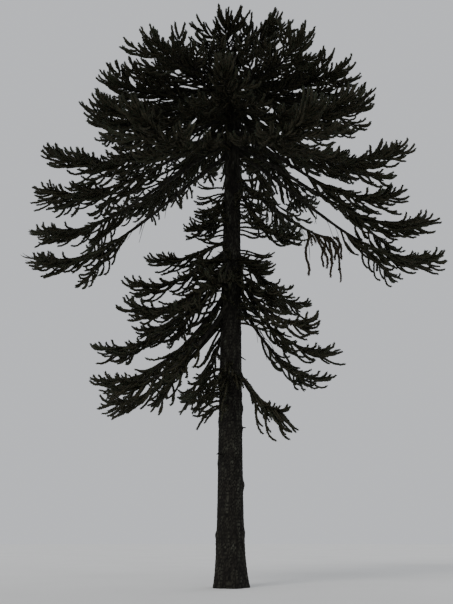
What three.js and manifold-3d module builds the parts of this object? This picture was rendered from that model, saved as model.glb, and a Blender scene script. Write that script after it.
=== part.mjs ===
// Monkey puzzle tree: a tall bare trunk, an umbrella crown of drooping boughs with upturned tips,
// and a smaller second crown below it. Millimetres, +Z up. The origin is the middle of the
// trunk's flat cut at ground level, and bearings are degrees from +X, anticlockwise from above.
import * as THREE from "three";
import { mergeVertices } from "three/addons/utils/BufferGeometryUtils.js";
import Module from "manifold-3d";

const wasm = await Module();
wasm.setup();

// Trunk
const TRUNK_HEIGHT = 22800;
const TRUNK_RADIUS = 475;
const TAPER_POWER = 0.33;
const FLARE_RADIUS = 155;
const FLARE_HEIGHT = 850;
const ROOT_LOBES = 5;
const LOBE_DEPTH = 0.3;
const LEAN = 250;
const TRUNK_SIDES = 16;
const TRUNK_RINGS = [0, 180, 420, 800, 1400, 2600, 6000, 10000, 14000, 17000, 20000, 21800, 22500];
const GAP = 0.3;

// Both crowns: how far a bough reaches follows a round dome, from the height of its tip. A bough is
// leafy from this share of its length outwards, and a plunge makes it leave the trunk more steeply.
// A crown's tiers of boughs, lowest first, say where they leave the trunk, where their tips are,
// which way they point and, where it isn't as in the rest of the crown, how far they reach and from
// where they are leafy. A tier with a bare share has a node for each bough's bare part and another
// for its foliage.
const SKIRT = {
  base: 8000,
  top: 13300,
  reach: 4350,
  power: 2.2,
  west: 0.15,
  leafy: 0.1,
  plunge: 1.3,
  tiers: [
    {
      name: "low_hanging", root: 9700, tip: 6000, bearings: [346],
      bare: 0.5, stretch: 0.55, hangs: true,
    },
    { name: "low_drooping", root: 10000, tip: 6600, bearings: [168, 216], stretch: 1, leafy: 0.34 },
    { name: "low_rear", root: 10200, tip: 7300, bearings: [115], stretch: 0.9 },
    { name: "low_wide", root: 11000, tip: 7000, bearings: [192], stretch: 0.98 },
    { name: "low_broad", root: 11100, tip: 7500, bearings: [14], stretch: 1.02, leafy: 0.38 },
    { name: "low_outer", root: 11400, tip: 8300, bearings: [354], stretch: 0.99, leafy: 0.34 },
    { name: "low_reaching", root: 11600, tip: 8600, bearings: [176], stretch: 1 },
    { name: "low_near", root: 11800, tip: 8900, bearings: [322], stretch: 0.96 },
    { name: "low_fore", root: 12200, tip: 9200, bearings: [222], stretch: 0.96 },
    { name: "low_back", root: 12200, tip: 10100, bearings: [143] },
    { name: "low_bent", root: 12700, tip: 11000, bearings: [32], stretch: 1.08 },
    { name: "low_middle", root: 12700, tip: 10700, bearings: [200], stretch: 0.87 },
    { name: "low_inset", root: 12300, tip: 10400, bearings: [330, 258], stretch: 0.63 },
    { name: "low_top", root: 13100, tip: 12300, bearings: [177], stretch: 0.94 },
    { name: "low_short", root: 12900, tip: 11800, bearings: [346], stretch: 0.48 },
  ],
};
const CROWN = {
  base: 12900,
  top: 23900,
  reach: 8250,
  power: 1.6,
  west: 0,
  leafy: 0.3,
  plunge: 1,
  tiers: [
    { name: "inner_west", root: 15500, tip: 13600, bearings: [186], stretch: 0.18, leafy: 0.25 },
    { name: "inner_east", root: 15700, tip: 13100, bearings: [350], stretch: 0.31, leafy: 0.2 },
    { name: "dying", root: 15900, tip: 13900, bearings: [16], bare: 0.5, stretch: 0.6, hangs: true },
    { name: "east_skirt", root: 17400, tip: 12300, bearings: [0], bare: 0.52, stretch: 1.02 },
    { name: "west_skirt", root: 17300, tip: 12200, bearings: [180], bare: 0.52, stretch: 0.94 },
    { name: "east_wide", root: 17700, tip: 13400, bearings: [352], stretch: 0.95, leafy: 0.56 },
    { name: "west_wide", root: 17900, tip: 14100, bearings: [171], stretch: 1.01, leafy: 0.5 },
    { name: "near_skirt", root: 17800, tip: 14400, bearings: [246, 290], stretch: 0.94, leafy: 0.24 },
    { name: "east_broad", root: 18400, tip: 14200, bearings: [344], stretch: 0.83, leafy: 0.46 },
    { name: "west_broad", root: 18300, tip: 14700, bearings: [190], stretch: 0.94, leafy: 0.4 },
    { name: "fore", root: 18700, tip: 15000, bearings: [329, 208], stretch: 0.93, leafy: 0.24 },
    { name: "rear_skirt", root: 18500, tip: 16600, bearings: [62, 142], stretch: 0.92, leafy: 0.2 },
    { name: "flank", root: 19200, tip: 17000, bearings: [4, 176], stretch: 0.88, leafy: 0.14 },
    { name: "front", root: 19300, tip: 16500, bearings: [224, 268, 312], stretch: 0.88, leafy: 0.14 },
    { name: "rear", root: 19700, tip: 17800, bearings: [52, 90, 128], leafy: 0.14 },
    { name: "side", root: 20050, tip: 18600, bearings: [184, 345], stretch: 0.94, leafy: 0.1 },
    {
      name: "shoulder", root: 20500, tip: 19200, bearings: [205, 238, 300, 326],
      stretch: 0.93, leafy: 0.1,
    },
    { name: "rear_shoulder", root: 20700, tip: 19500, bearings: [68, 112], stretch: 0.93, leafy: 0.1 },
    { name: "crest", root: 21200, tip: 20800, bearings: [267], stretch: 0.86, leafy: 0.1 },
    { name: "rear_crest", root: 21700, tip: 21600, bearings: [105], stretch: 0.9, leafy: 0.1 },
    { name: "high", root: 21300, tip: 20700, bearings: [30, 150], stretch: 0.9, leafy: 0.1 },
    { name: "upper", root: 21900, tip: 22200, bearings: [60, 180], stretch: 0.9, leafy: 0.1 },
    { name: "upper_near", root: 22000, tip: 21900, bearings: [304], stretch: 0.9, leafy: 0.1 },
  ],
};
const DROOP_LOSS = 0.12;
const LIGHT_FROM = 19800;

// Boughs: how far the two handles of a bough's curve reach, as shares of its length, and the angles
// at its ends, of which the first is for a bough that falls steeply and the second for a level one.
// A bough has its full thickness where it is this long and where the trunk is this stout.
const HANDLES = { root: 0.42, tip: 0.3 };
const ROOT_LIFT = [-4, 14];
const TIP_LIFT = [14, 40];
const TIP_LIFT_GAIN = 1.4;
const STAGGER = 420;
const FULL_LENGTH = 7000;
const STOUT_TRUNK = 330;
const LIMB_ROOT_RADIUS = 105;
const LIMB_TIP_RADIUS = 34;
const LIMB_TAPER = 0.8;
const LIMB_SIDES = 5;
const LIMB_STEPS = 5;
const STEM_STEPS = 4;

// Side boughs, with their lengths, droops and lifts as shares of the bough's or of their own length
const SIDE_BOUGHS = [
  { place: 0.56, side: 1 },
  { place: 0.62, side: -1 },
];
const SIDE_BOUGH = { share: 0.36, turn: 36, from: 3600, clear: 260, lift: 0.06, middle: 0.55, sag: 0.08 };
const SIDE_BOUGH_RADII = { root: 0.8, tip: 26 };
const SIDE_BOUGH_SIDES = 3;
const SIDE_BOUGH_STEPS = 2;
const SIDE_BOUGH_PROBES = [0.35, 0.6, 0.8, 1];

// Sprays: each stands for a bunch of scaly branchlets, pointed at both ends, and grows as thick as
// the space around it lets it
const SPRAY = { sides: 3, thickest: 350, thinnest: 100, slimness: 0.3, gap: 14 };
const SPRAY_LENGTHS = { sideways: 1700, upright: 850, hanging: 2100, end: 1100 };
const SPRAYS_ON_STEM = { apart: 510, fewest: 5, most: 10 };
const SPRAY_PROBES = [0.25, 0.4, 0.5, 0.6, 0.8, 1];
const SIDE_SPRAY_PLACE = 0.55;
const TIP_SPRAY = 0.13;
const TIP_REACH = { out: 340, up: 120 };

const degrees = THREE.MathUtils.degToRad;
const mix = THREE.MathUtils.lerp;
const UP = new THREE.Vector3(0, 0, 1);
const UPRIGHT = 0.95;
const MERGE = 1e-3;

// A seeded generator of numbers from 0 to 1, so that the tree grows the same each time
function seeded(seed) {
  let state = seed >>> 0;
  return () => {
    state = (Math.imul(state, 1664525) + 1013904223) >>> 0;
    return state / 4294967296;
  };
}

function compass(bearing) {
  return new THREE.Vector3(Math.cos(degrees(bearing)), Math.sin(degrees(bearing)), 0);
}

// A closed solid from rings of equally many points, of which the first and the last may be single points
function loft(rings) {
  const points = rings.flat();
  const faces = [];
  let low = 0;
  for (let r = 1; r < rings.length; r += 1) {
    const [lower, upper] = [rings[r - 1].length, rings[r].length];
    const high = low + lower;
    const sides = Math.max(lower, upper);
    for (let k = 0; k < sides; k += 1) {
      const next = (k + 1) % sides;
      if (lower === 1) faces.push(low, high + next, high + k);
      else if (upper === 1) faces.push(low + k, low + next, high);
      else faces.push(low + k, low + next, high + next, low + k, high + next, high + k);
    }
    low = high;
  }
  for (let k = 2; k < rings[0].length; k += 1) faces.push(0, k, k - 1);
  for (let k = 2; k < rings.at(-1).length; k += 1) faces.push(low, low + k - 1, low + k);
  const geometry = new THREE.BufferGeometry().setFromPoints(points);
  geometry.setIndex(faces);
  return geometry;
}

// The way a line of points runs at each of its points
function headings(line) {
  const last = line.length - 1;
  return line.map((_, i) => {
    const before = line[Math.max(i - 1, 0)];
    return line[Math.min(i + 1, last)].clone().sub(before).normalize();
  });
}

// A tapering tube along a line of points, with a flat end, or a pointed one where the radius is 0.
// Its rings face along the given directions.
function sweep(line, radii, sides, directions) {
  const rings = [];
  const side = Math.abs(directions[0].z) > UPRIGHT ? new THREE.Vector3(1, 0, 0) : UP;
  let across = new THREE.Vector3().crossVectors(directions[0], side);
  line.forEach((point, i) => {
    const along = directions[i];
    across = across.clone().addScaledVector(along, -across.dot(along)).normalize();
    const third = new THREE.Vector3().crossVectors(along, across);
    const ring = [];
    for (let k = 0; k < (radii[i] === 0 ? 1 : sides); k += 1) {
      const turn = (2 * Math.PI * k) / sides;
      const outward = across.clone().multiplyScalar(Math.cos(turn));
      outward.addScaledVector(third, Math.sin(turn));
      ring.push(point.clone().addScaledVector(outward, radii[i]));
    }
    rings.push(ring);
  });
  return loft(rings);
}

function solidOf(geometry) {
  const merged = mergeVertices(geometry, MERGE);
  return new wasm.Manifold(
    new wasm.Mesh({
      numProp: 3,
      vertProperties: merged.attributes.position.array,
      triVerts: new Uint32Array(merged.index.array),
    }),
  );
}

function geometryOf(solid) {
  const mesh = solid.getMesh();
  const points = new Float32Array(mesh.numVert * 3);
  for (let i = 0; i < mesh.numVert; i += 1) {
    points.set(mesh.vertProperties.subarray(i * mesh.numProp, i * mesh.numProp + 3), i * 3);
  }
  const geometry = new THREE.BufferGeometry();
  geometry.setAttribute("position", new THREE.BufferAttribute(points, 3));
  geometry.setIndex(new THREE.BufferAttribute(mesh.triVerts, 1));
  return geometry;
}

function trunkCentre(height) {
  return new THREE.Vector3(LEAN * (height / TRUNK_HEIGHT) ** 2, 0, height);
}

function trunkRadius(height) {
  const share = Math.max(0, 1 - height / TRUNK_HEIGHT);
  return TRUNK_RADIUS * share ** TAPER_POWER;
}

function trunkGeometry(extra) {
  const rings = TRUNK_RINGS.map((height) => {
    const centre = trunkCentre(height);
    const flare = FLARE_RADIUS * Math.exp(-height / FLARE_HEIGHT);
    const ring = [];
    for (let k = 0; k < TRUNK_SIDES; k += 1) {
      const turn = (2 * Math.PI * k) / TRUNK_SIDES;
      const lobes = 1 + LOBE_DEPTH * Math.cos(ROOT_LOBES * turn);
      const radius = trunkRadius(height) + flare * lobes + extra;
      const outward = new THREE.Vector3(Math.cos(turn), Math.sin(turn), 0);
      ring.push(centre.clone().addScaledVector(outward, radius));
    }
    return ring;
  });
  rings.push([trunkCentre(TRUNK_HEIGHT + extra)]);
  return loft(rings);
}

// How far out a bough of this tier reaches, from the height of its tip and its bearing
function reachOf(tier, bearing) {
  const { base, top, reach, power, west } = tier.crown;
  const rise = (tier.tip - base) / (top - base);
  const share = rise > 0 ? (1 - rise ** power) ** (1 / power) : 1 + DROOP_LOSS * rise;
  return reach * share * (1 - west * compass(bearing).x) * (tier.stretch ?? 1);
}

// The line of a bough: low tiers leave the trunk downwards and high ones upwards, and all turn up at
// the tip
function boughCurve(tier, bearing, root) {
  const outward = compass(bearing);
  const start = trunkCentre(root);
  const end = trunkCentre(0).addScaledVector(outward, reachOf(tier, bearing));
  end.z = tier.tip;
  const length = start.distanceTo(end);
  const slope = (tier.tip - root) / length;
  const level = slope + 0.5;
  const leave = Math.asin(slope) * tier.crown.plunge + degrees(mix(...ROOT_LIFT, level));
  const arrive = degrees(mix(...TIP_LIFT, level * TIP_LIFT_GAIN));
  const handle = (point, angle, reach) =>
    point
      .clone()
      .addScaledVector(outward, Math.cos(angle) * reach)
      .addScaledVector(UP, Math.sin(angle) * reach);
  const first = handle(start, leave, length * HANDLES.root);
  const second = handle(end, arrive, -length * HANDLES.tip);
  return new THREE.CubicBezierCurve3(start, first, second, end);
}

function pointAlong(line, share) {
  const at = THREE.MathUtils.clamp(share, 0, 1) * (line.length - 1);
  const i = Math.min(line.length - 2, Math.floor(at));
  return line[i].clone().lerp(line[i + 1], at - i);
}

// A stretch of a bough as the straight steps that its solid has
function stretchOf(curve, from, to, steps, thickness) {
  const places = Array.from({ length: steps + 1 }, (_, i) => mix(from, to, i / steps));
  return {
    line: places.map((place) => curve.getPoint(place)),
    radii: places.map((place) => thickness(place)),
    directions: places.map((place) => curve.getTangent(place)),
    at: (place) => (place - from) / (to - from),
  };
}

const TIERS = [SKIRT, CROWN].flatMap((crown) => crown.tiers.map((tier) => ({ ...tier, crown })));

// Neighbours in a tier leave the trunk at heights that take turns, so that they clear each other
function growBoughs() {
  const boughs = [];
  for (const tier of TIERS) {
    tier.bearings.forEach((bearing, i) => {
      const curve = boughCurve(tier, bearing, tier.root + (i % 2) * STAGGER);
      const length = curve.getLength();
      const stout = Math.min(1, length / FULL_LENGTH, trunkRadius(tier.root) / STOUT_TRUNK);
      const thickness = (place) => mix(LIMB_ROOT_RADIUS * stout, LIMB_TIP_RADIUS, place ** LIMB_TAPER);
      const bare = tier.bare ?? 0;
      const limb = bare ? stretchOf(curve, 0, bare, LIMB_STEPS, thickness) : null;
      const stem = stretchOf(curve, bare, 1 - TIP_SPRAY / 2, STEM_STEPS, thickness);
      const name = `${tier.name}_${bearing}`;
      const seed = boughs.length + 1;
      boughs.push({ tier, bearing, curve, length, thickness, limb, stem, name, seed, sides: [] });
    });
  }
  return boughs;
}

// The shortest way from a point to a line of points, less the radius there
function clearanceFrom(point, { line, radii }) {
  let best = Infinity;
  const segment = new THREE.Line3();
  const nearest = new THREE.Vector3();
  for (let i = 1; i < line.length; i += 1) {
    segment.set(line[i - 1], line[i]);
    const share = segment.closestPointToPointParameter(point, true);
    segment.at(share, nearest);
    best = Math.min(best, nearest.distanceTo(point) - mix(radii[i - 1], radii[i], share));
  }
  return best;
}

function clearanceFromBough(point, bough) {
  const woods = [bough.stem, ...bough.sides];
  if (bough.limb) woods.push(bough.limb);
  return Math.min(...woods.map((wood) => clearanceFrom(point, wood)));
}

function clearanceFromTrunk(point) {
  const height = THREE.MathUtils.clamp(point.z, 0, TRUNK_HEIGHT);
  const centre = trunkCentre(height);
  return Math.hypot(point.x - centre.x, point.y - centre.y) - trunkRadius(height);
}

// A side bough leaves its stem sideways, runs on at the same slope, and turns up at its tip
function sideBough(bough, place, side) {
  const { share, turn, lift, middle, sag } = SIDE_BOUGH;
  const start = pointAlong(bough.stem.line, bough.stem.at(place));
  const length = bough.length * share * (1.25 - place);
  const outward = bough.curve.getTangent(place).applyAxisAngle(UP, degrees(side * turn));
  const runs = (along, rise) =>
    start.clone().addScaledVector(outward, along * length).addScaledVector(UP, rise * length);
  const curve = new THREE.QuadraticBezierCurve3(start, runs(middle, -sag), runs(1, lift));
  const root = bough.thickness(place) * SIDE_BOUGH_RADII.root;
  const thickness = (along) => mix(root, SIDE_BOUGH_RADII.tip, along);
  return { ...stretchOf(curve, 0, 1, SIDE_BOUGH_STEPS, thickness), curve };
}

// Gives each long bough its side boughs, leaving out those that would come near another bough
function growSideBoughs(boughs) {
  for (const bough of boughs.filter(({ length }) => length > SIDE_BOUGH.from)) {
    const others = boughs.filter((other) => other !== bough);
    for (const { place, side } of SIDE_BOUGHS) {
      const grown = sideBough(bough, place, side);
      const clear = SIDE_BOUGH_PROBES.every((share) => {
        const point = grown.curve.getPoint(share);
        const nearest = Math.min(...others.map((other) => clearanceFromBough(point, other)));
        return Math.min(nearest, clearanceFromTrunk(point)) > SIDE_BOUGH.clear;
      });
      if (clear) bough.sides.push(grown);
    }
  }
}

// A spray's line leaves its stem one way and bends at its middle towards the way its tip points
function sprayLine(start, leave, arrive, length) {
  const middle = start.clone().addScaledVector(leave.clone().normalize(), length / 2);
  const tip = middle.clone().addScaledVector(arrive.clone().normalize(), length / 2);
  return [start, middle, tip];
}

// A spray grows from a place on its wood to the left, upright, to the right or hanging, in turn
function sprayAt(wood, curve, place, turn, heavy, random) {
  const start = pointAlong(wood.line, wood.at(place));
  const along = curve.getTangent(place);
  const across = new THREE.Vector3().crossVectors(along, UP).normalize();
  const leave = along.clone().multiplyScalar(0.6);
  const arrive = along.clone();
  let length = 0.85 + 0.3 * random();
  if (turn % 2 === 0) {
    const spread = (turn % 4 ? -1 : 1) * (mix(1, 0.5, place) + 0.3 * random());
    leave.addScaledVector(across, spread).addScaledVector(UP, -mix(0.5, 0.1, place) * heavy);
    arrive.addScaledVector(across, spread * 0.7).addScaledVector(UP, 0.1 + 0.4 * random());
    length *= SPRAY_LENGTHS.sideways * mix(1, 0.45, place);
  } else if (turn % 4 === 1) {
    leave.addScaledVector(across, random() - 0.5).addScaledVector(UP, 0.6);
    arrive.multiplyScalar(0.5).addScaledVector(UP, 0.9);
    length *= SPRAY_LENGTHS.upright * mix(1, 0.7, place);
  } else {
    leave.addScaledVector(across, random() - 0.5).addScaledVector(UP, -0.8);
    arrive.addScaledVector(UP, -0.4 * heavy);
    length *= SPRAY_LENGTHS.hanging * mix(1, 0.35, place) * mix(0.4, 1, heavy);
  }
  return sprayLine(start, leave, arrive, length);
}

// The spray at the end of a side bough goes on the way it was going, and turns up
function endSpray(side) {
  const along = side.directions.at(-1);
  const arrive = along.clone().addScaledVector(UP, 0.4);
  return sprayLine(pointAlong(side.line, 0.8), along, arrive, SPRAY_LENGTHS.end);
}

// How thick a spray can be at its middle: it keeps to its own mass's space, which is nearer to its own
// bough than to any other, and clear of the trunk, of its own bare limb and of the sprays already there
function roomFor(spray, bough, boughs, grown) {
  const length = spray[0].distanceTo(spray[1]) + spray[1].distanceTo(spray[2]);
  let room = Math.min(SPRAY.thickest, length * SPRAY.slimness);
  for (const share of SPRAY_PROBES) {
    const point = pointAlong(spray, share);
    const own = clearanceFromBough(point, bough);
    let clear = clearanceFromTrunk(point);
    if (bough.limb) clear = Math.min(clear, clearanceFrom(point, bough.limb));
    for (const other of boughs) {
      if (other !== bough) clear = Math.min(clear, (clearanceFromBough(point, other) - own) / 2);
    }
    if (share > SPRAY_PROBES[0]) {
      for (const neighbour of grown) clear = Math.min(clear, clearanceFrom(point, neighbour));
    }
    const width = Math.max(0.12, 1 - Math.abs(2 * share - 1));
    room = Math.min(room, (clear - SPRAY.gap) / width);
  }
  return room;
}

// The spray that goes on past the tip of a bough, and turns up
function tipSpray({ bearing, curve, stem }) {
  const tip = curve.getPoint(1).addScaledVector(compass(bearing), TIP_REACH.out);
  tip.addScaledVector(UP, TIP_REACH.up);
  return [pointAlong(stem.line, stem.at(1 - TIP_SPRAY)), curve.getPoint(1 - TIP_SPRAY / 2), tip];
}

// The sprays of one mass, in the order in which they grow: the one at the tip, those on the stem and
// those on the side boughs
function growSprays(bough, boughs) {
  const random = seeded(bough.seed * 7919);
  const heavy = bough.tier.root > LIGHT_FROM ? 0.3 : 1;
  const leafy = Math.max(bough.tier.leafy ?? bough.tier.crown.leafy, bough.tier.bare ?? 0) + 0.04;
  const { apart, fewest, most } = SPRAYS_ON_STEM;
  const count = THREE.MathUtils.clamp(Math.round((bough.length * (1 - leafy)) / apart), fewest, most);
  const candidates = [tipSpray(bough)];
  for (let i = 0; i < count; i += 1) {
    const place = mix(leafy, 1 - TIP_SPRAY / 2, (i + 0.5 * random()) / count);
    candidates.push(sprayAt(bough.stem, bough.curve, place, bough.tier.hangs ? 3 : i, heavy, random));
  }
  for (const side of bough.sides) {
    candidates.push(endSpray(side));
    candidates.push(sprayAt(side, side.curve, SIDE_SPRAY_PLACE, 2, heavy, random));
  }
  const grown = [];
  for (const line of candidates) {
    const room = roomFor(line, bough, boughs, grown);
    if (room >= SPRAY.thinnest) grown.push({ line, radii: [0, room, 0] });
  }
  return grown;
}

// The foliage at the end of one bough: its stem, its side boughs and their sprays. A stem that starts at
// a bare bough's end stands a gap away from it, and all are cut clear of the trunk.
function massSolid(bough, boughs, grownTrunk) {
  const sprays = growSprays(bough, boughs);
  const { line, radii, directions } = bough.stem;
  if (bough.limb) line[0].addScaledVector(directions[0], GAP);
  let solid = solidOf(sweep(line, radii, LIMB_SIDES, directions));
  for (const side of bough.sides) {
    solid = solid.add(solidOf(sweep(side.line, side.radii, SIDE_BOUGH_SIDES, side.directions)));
  }
  for (const spray of sprays) {
    solid = solid.add(solidOf(sweep(spray.line, spray.radii, SPRAY.sides, headings(spray.line))));
  }
  return solid.subtract(grownTrunk);
}

function limbSolid({ line, radii, directions }, grownTrunk) {
  return solidOf(sweep(line, radii, LIMB_SIDES, directions)).subtract(grownTrunk);
}

const bark = new THREE.MeshStandardMaterial({ color: 0x2b2620, roughness: 0.95, metalness: 0 });
const foliage = new THREE.MeshStandardMaterial({ color: 0x1d2a18, roughness: 0.7, metalness: 0 });

function node(name, solid, material) {
  const mesh = new THREE.Mesh(geometryOf(solid), material);
  mesh.name = name;
  return mesh;
}

function buildTree() {
  const tree = new THREE.Group();
  const trunk = solidOf(trunkGeometry(0));
  const grownTrunk = solidOf(trunkGeometry(GAP / Math.cos(Math.PI / TRUNK_SIDES) + 0.1));
  tree.add(node("trunk", trunk, bark));
  const boughs = growBoughs();
  growSideBoughs(boughs);
  for (const bough of boughs) {
    if (bough.limb) tree.add(node(`bough_${bough.name}`, limbSolid(bough.limb, grownTrunk), bark));
    tree.add(node(`mass_${bough.name}`, massSolid(bough, boughs, grownTrunk), foliage));
  }
  return tree;
}

export default buildTree();
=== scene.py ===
# Monkey puzzle tree: bark with its relief on the trunk and boughs, and on each bough side branches
# and branchlets clothed in stiff scale leaves. Metres, +Z up, bearings in degrees anticlockwise
# from +X, so that 270 points at the camera.
from dataclasses import dataclass
from math import asin, cos, degrees, inf, pi, radians, sin

import bpy
import numpy as np
from numpy.random import default_rng
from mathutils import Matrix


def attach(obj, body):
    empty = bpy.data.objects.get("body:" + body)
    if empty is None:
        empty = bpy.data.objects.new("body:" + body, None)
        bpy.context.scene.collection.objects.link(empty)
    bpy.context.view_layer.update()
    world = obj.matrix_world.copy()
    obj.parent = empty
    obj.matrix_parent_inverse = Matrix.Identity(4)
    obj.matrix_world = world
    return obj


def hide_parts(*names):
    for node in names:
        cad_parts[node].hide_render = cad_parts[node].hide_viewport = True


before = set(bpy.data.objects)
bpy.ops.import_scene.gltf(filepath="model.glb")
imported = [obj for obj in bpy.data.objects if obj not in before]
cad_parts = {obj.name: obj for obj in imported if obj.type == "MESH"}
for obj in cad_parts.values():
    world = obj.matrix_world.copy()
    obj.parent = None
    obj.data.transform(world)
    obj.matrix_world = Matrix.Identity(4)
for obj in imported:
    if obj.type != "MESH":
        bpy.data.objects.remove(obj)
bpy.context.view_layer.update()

UP = np.array([0.0, 0.0, 1.0])

# The photograph's camera, with its focal length in pixels, and the studio floor
PHOTO_SIZE = (453, 604)
FOCAL_PIXELS = 640
CAMERA_PLACE = (-0.13, -23.8, 1.6)
CAMERA_PITCH = 20.2
SENSOR = 36
CLIP_END = 500
FLOOR_RADIUS = 160
FLOOR_SIDES = 96

# Trunk
TRUNK_HEIGHT = 22.8
TRUNK_RADIUS = 0.475
TAPER_POWER = 0.33
LEAN = 0.25
FLARE_RADIUS = 0.155
FLARE_HEIGHT = 0.85
ROOT_LOBES = 5
LOBE_DEPTH = 0.3
TRUNK_SIDES = 140
RING_STEPS = [(0, 9.5, 0.04), (9.5, 16, 0.08), (16, 22.6, 0.14)]

# The trunk's bark: plates between furrows that wander, with grain and lumps. The level is the
# relief that lies at the trunk's own radius, and the tip share is how deep it still is at the tip.
PLATES = {"columns": 44, "height": 0.13, "relief": 0.024, "furrow": 0.4, "jitter": 0.84, "share": 0.62}
BARK_SEED = 11
BARK_LEVEL = 0.6
BARK_TIP_SHARE = 0.45
WANDER = {"height": 0.5, "columns": 1.6}
GRAIN = {"finer": 4, "height": 0.16, "share": 0.24}
LUMPS = {"broader": 2, "height": 0.7, "share": 0.3}
KNOTS = {"seed": 5, "count": 46, "heights": (1.2, 12.5), "sizes": (0.06, 0.15), "swells": (0.02, 0.06)}
KNOT_SQUASH = 0.8
# Relief at the closed ends of tubes, which sets how much painted shade their bark colour gets
CAP_RELIEF = 0.5

# Stumps of dead boughs: rings at shares of the length, with widths in shares of the radius
STUBS = {"seed": 23, "count": 34, "heights": (3.5, 13.5), "crowding": 0.6}
STUB_LENGTHS = (0.06, 0.28)
STUB_RADII = (0.016, 0.032)
STUB_DROOPS = (-0.1, 0.6)
STUB_RINGS = np.array([-0.08, 0, 0.25, 0.6, 1.0])
STUB_WIDTHS = np.array([1.7, 1.5, 1.05, 0.9, 0.55])
STUB_SIDES = 6
STUB_POINT = 0.3
# Relief of the stumps, which sets how much painted shade their bark colour gets
STUB_RELIEF = 0.4


@dataclass
class Tier:
    """Boughs that leave the trunk at the height root and end at the height tip, one a bearing."""

    name: str
    root: float
    tip: float
    bearings: list
    stretch: float = 1  # how far they reach, as a share of the dome
    leafy: float = 0.1  # where their leaves begin, as a share of their length
    open: float = 1  # how far apart their branchlets are
    limp: float = 0  # how much those near the tip hang
    habit: str = "leafy"
    separate: bool = False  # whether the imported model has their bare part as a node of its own


@dataclass
class Crown:
    """Tiers whose boughs reach out to one dome."""

    base: float
    top: float
    reach: float  # the dome's radius at its base
    power: float  # its roundness
    west: float  # how much further it goes to the west
    plunge: float  # how steeply boughs leave the trunk
    apart: float  # metres of bough for each branchlet, and for those that hang and stand up
    hanging_apart: float
    upright_apart: float
    hand: int  # how many branchlets a bough ends in
    tiers: list


# Both crowns, with the heights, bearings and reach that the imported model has
SKIRT_TIERS = [
    Tier("low_hanging", 9.7, 6.0, [346], 0.55, habit="hanging", separate=True),
    Tier("low_drooping", 10.0, 6.6, [168, 216], leafy=0.34, limp=0.9),
    Tier("low_rear", 10.2, 7.3, [115], 0.9),
    Tier("low_wide", 11.0, 7.0, [192], 0.98, open=0.8),
    Tier("low_broad", 11.1, 7.5, [14], 1.02, leafy=0.38),
    Tier("low_outer", 11.4, 8.3, [354], 0.99, leafy=0.34),
    Tier("low_reaching", 11.6, 8.6, [176], open=0.8),
    Tier("low_near", 11.8, 8.9, [322], 0.96, open=1.8),
    Tier("low_fore", 12.2, 9.2, [222], 0.96, open=0.9),
    Tier("low_back", 12.2, 10.1, [143]),
    Tier("low_bent", 12.7, 11.0, [32], 1.08),
    Tier("low_middle", 12.7, 10.7, [200], 0.87, open=0.85),
    Tier("low_inset", 12.3, 10.4, [330, 258], 0.63, open=1.6),
    Tier("low_top", 13.1, 12.3, [177], 0.94),
    Tier("low_short", 12.9, 11.8, [346], 0.48),
]
CROWN_TIERS = [
    Tier("inner_west", 15.5, 13.6, [186], 0.18, leafy=0.25),
    Tier("inner_east", 15.7, 13.1, [350], 0.31, leafy=0.2),
    Tier("dying", 15.9, 13.9, [16], 0.6, habit="dying", separate=True),
    Tier("east_skirt", 17.4, 12.3, [0], 1.02, leafy=0.52, limp=0.5, open=0.8, separate=True),
    Tier("west_skirt", 17.3, 12.2, [180], 0.94, leafy=0.52, limp=0.4, open=0.8, separate=True),
    Tier("east_wide", 17.7, 13.4, [352], 0.95, leafy=0.56, limp=0.4, open=0.75),
    Tier("west_wide", 17.9, 14.1, [171], 1.01, leafy=0.5, limp=0.4, open=0.75),
    Tier("near_skirt", 17.8, 14.4, [246, 290], 0.94, leafy=0.24),
    Tier("east_broad", 18.4, 14.2, [344], 0.83, leafy=0.46, limp=0.4, open=0.8),
    Tier("west_broad", 18.3, 14.7, [190], 0.94, leafy=0.4, limp=0.4, open=0.8),
    Tier("fore", 18.7, 15.0, [329, 208], 0.93, leafy=0.24),
    Tier("rear_skirt", 18.5, 16.6, [62, 142], 0.92, leafy=0.2, open=1.9),
    Tier("flank", 19.2, 17.0, [4, 176], 0.88, leafy=0.14),
    Tier("front", 19.3, 16.5, [224, 268, 312], 0.88, leafy=0.14),
    Tier("rear", 19.7, 17.8, [52, 90, 128], leafy=0.14),
    Tier("side", 20.05, 18.6, [184, 345], 0.94),
    Tier("shoulder", 20.5, 19.2, [205, 238, 300, 326], 0.93),
    Tier("rear_shoulder", 20.7, 19.5, [68, 112], 0.93),
    Tier("crest", 21.2, 20.8, [267], 0.86),
    Tier("rear_crest", 21.7, 21.6, [105], 0.9),
    Tier("high", 21.3, 20.7, [30, 150], 0.9),
    Tier("upper", 21.9, 22.2, [60, 180], 0.9),
    Tier("upper_near", 22.0, 21.9, [304], 0.9),
]
SKIRT = Crown(
    base=8.0, top=13.3, reach=4.35, power=2.2, west=0.15, plunge=1.3,
    apart=0.24, hanging_apart=0.7, upright_apart=inf, hand=6, tiers=SKIRT_TIERS,
)
CROWN = Crown(
    base=12.9, top=23.9, reach=8.25, power=1.6, west=0, plunge=1,
    apart=0.15, hanging_apart=0.5, upright_apart=0.9, hand=8, tiers=CROWN_TIERS,
)

# The line of a bough: lifts in degrees, handles in shares of its length. Every other bough of a
# tier leaves the trunk higher by the stagger, and those high up are light.
DROOP_LOSS = 0.12
STAGGER = 0.42
HANDLES = {"root": 0.42, "tip": 0.3}
ROOT_LIFT = (-4, 14)
TIP_LIFT = (14, 40)
TIP_LIFT_GAIN = 1.4
LIGHT_FROM = 19.8
LIGHT_WEIGHT = 0.3

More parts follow.
